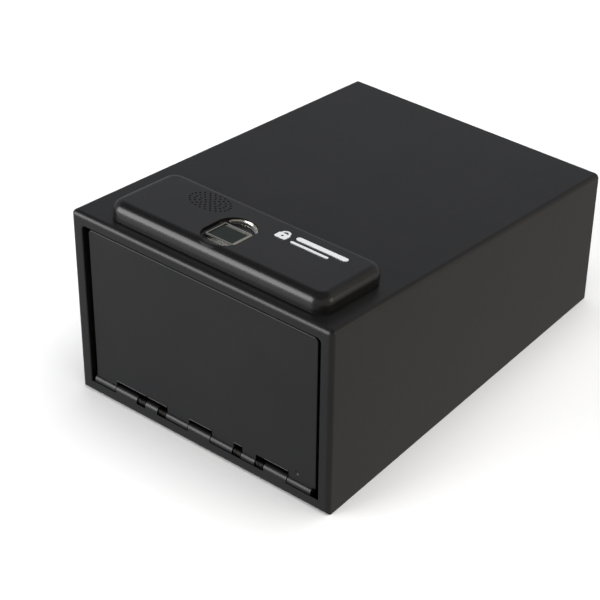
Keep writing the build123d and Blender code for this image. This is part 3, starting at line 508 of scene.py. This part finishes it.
def finger_rest():
    """Bright crescent at the back of the finger channel: a cove that climbs the channel's round end."""
    reach, rise, thick = 2.3 * MM, 2.2 * MM, 0.35 * MM
    steps, turns = 40, 8
    outer = CHANNEL_R - 0.12 * MM
    profile = []
    for i in range(turns + 1):
        t = math.pi / 2 * i / turns
        profile.append((outer - thick - reach * (1 - math.sin(t)), thick + rise * (1 - math.cos(t))))
    profile += [(outer, thick + rise), (outer - 0.5 * MM, 0.45 * MM), (outer - 1.3 * MM, 0.05 * MM)]
    profile += [(outer - thick - reach, 0.05 * MM)]
    bm = bmesh.new()
    rings = []
    for k in range(steps + 1):
        share = k / steps
        turn = math.radians(REST_START + REST_SWEEP * share)
        fade = math.sin(math.pi * share) ** 0.5
        ring = []
        for radius, height in profile:
            r = outer - (outer - radius) * (0.45 + 0.55 * fade)
            lift = CHANNEL_FLOOR + height * (0.5 + 0.5 * fade) + 0.03 * MM
            x, along = CHANNEL_X + r * math.cos(turn), CHANNEL_END + r * math.sin(turn)
            ring.append(bm.verts.new(on_slope(x, along, lift)))
        rings.append(ring)
    count = len(profile)
    for a, b in zip(rings, rings[1:]):
        for i in range(count):
            bm.faces.new((a[i], a[(i + 1) % count], b[(i + 1) % count], b[i]))
    bm.faces.new(rings[0])
    bm.faces.new(list(reversed(rings[-1])))
    bmesh.ops.recalc_face_normals(bm, faces=bm.faces)
    mesh = bpy.data.meshes.new("finger_rest")
    bm.to_mesh(mesh)
    bm.free()
    mesh.shade_smooth()
    new_piece("finger_rest", mesh, "silver_bezel", "cabinet")


floor_foam()
door_foam()
finger_rest()


# ---- studio ------------------------------------------------------------------------------------------------
def studio_floor():
    """Plain pale floor under the safe, left out of reflections so that it doesn't lighten the door."""
    mesh = bpy.data.meshes.new("studio_floor")
    size = 6.0
    corners = [(-size, -size, 0), (size, -size, 0), (size, size, 0), (-size, size, 0)]
    mesh.from_pydata(corners, [], [(0, 1, 2, 3)])
    floor = bpy.data.objects.new("studio_floor", mesh)
    floor.location.z = cad_box[0][2] - 0.05 * MM
    bpy.context.collection.objects.link(floor)
    s = Shader("pale_floor")
    cloud = s.noise(0.4, 2.0)
    mesh.materials.append(s.finish(
        Base_Color=s.blend(s.spread(cloud, 0, 1), grey(0.86), grey(0.88)),
        Roughness=s.spread(cloud, 0.75, 0.85), Specular_IOR_Level=0.1,
    ))
    floor.visible_glossy = False


def soft_light(name, place, target, size, power, colour=(1, 1, 1), glossy=True):
    """A rectangular softbox at one place, aimed at another."""
    light = bpy.data.lights.new(name, "AREA")
    light.shape = "RECTANGLE"
    light.size, light.size_y = size
    light.energy = power
    light.color = colour
    lamp = bpy.data.objects.new(name, light)
    lamp.location = place
    lamp.rotation_euler = (Vector(target) - Vector(place)).to_track_quat("-Z", "Y").to_euler()
    lamp.visible_glossy = glossy
    bpy.context.collection.objects.link(lamp)


def studio_world():
    """Pale room, warmer on the right, with a dark ceiling."""
    world = bpy.data.worlds.new("studio")
    bpy.context.scene.world = world
    world.use_nodes = True
    nodes, links = world.node_tree.nodes, world.node_tree.links
    backdrop = nodes["Background"]
    direction = nodes.new("ShaderNodeTexCoord")
    parts = nodes.new("ShaderNodeSeparateXYZ")
    links.new(direction.outputs["Generated"], parts.inputs[0])

    def fade(axis, start, end, low, high):
        """A value that changes smoothly with how far a direction leans along an axis."""
        node = nodes.new("ShaderNodeMapRange")
        node.interpolation_type = "SMOOTHSTEP"
        for name, value in (("From Min", start), ("From Max", end), ("To Min", low), ("To Max", high)):
            node.inputs[name].default_value = value
        links.new(parts.outputs[axis], node.inputs["Value"])
        return node.outputs["Result"]

    walls = nodes.new("ShaderNodeMix")
    walls.data_type = "RGBA"
    walls.inputs[6].default_value = (0.93, 0.95, 1.0, 1)
    walls.inputs[7].default_value = (1.25, 1.19, 1.10, 1)
    links.new(fade("X", -0.2, 0.4, 0, 1), walls.inputs[0])
    links.new(walls.outputs[2], backdrop.inputs["Color"])
    links.new(fade("Z", 0.52, 0.78, 0.35, 0.05), backdrop.inputs["Strength"])


def studio_camera():
    """Orbits the middle of the cabinet at the chosen angles."""
    a, e = math.radians(AZIMUTH), math.radians(ELEVATION)
    back = Vector((math.sin(a) * math.cos(e), -math.cos(a) * math.cos(e), math.sin(e)))
    right = Vector((math.cos(a), math.sin(a), 0))
    up = back.cross(right)
    low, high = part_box("body_shell")
    middle = Vector((0, 0, (low.z + high.z) / 2))
    data = bpy.data.cameras.new("camera")
    data.sensor_width = 36
    data.lens = LENS
    data.shift_x, data.shift_y = SHIFT
    data.clip_start, data.clip_end = 0.05, 50
    camera = bpy.data.objects.new("camera", data)
    turn = Matrix((right, up, back)).transposed().to_4x4()
    place = middle + SIDEWAYS * right + UPWARDS * up + DISTANCE * back
    camera.matrix_world = Matrix.Translation(place) @ turn
    bpy.context.collection.objects.link(camera)
    bpy.context.scene.camera = camera


studio_floor()
studio_world()
studio_camera()
soft_light("front_left_box", (-1.0, -1.5, 0.62), (0, 0, 0.05), (1.4, 1.25), 31)
# Mostly below the floor, so it reaches the safe mainly as a reflection.
soft_light("front_left_glow", (-1.0, -1.5, -0.3), (0, 0, 0.05), (1.8, 0.9), 3.5)
soft_light("overhead_box", (0.3, 0.2, 2.2), (0, 0, 0), (2.2, 2.2), 62, glossy=False)
soft_light("right_fill", (1.9, 0.9, 0.35), (0, 0, 0.08), (0.9, 0.9), 5, (1.0, 0.86, 0.72))
bpy.context.scene.view_settings.view_transform = "Standard"
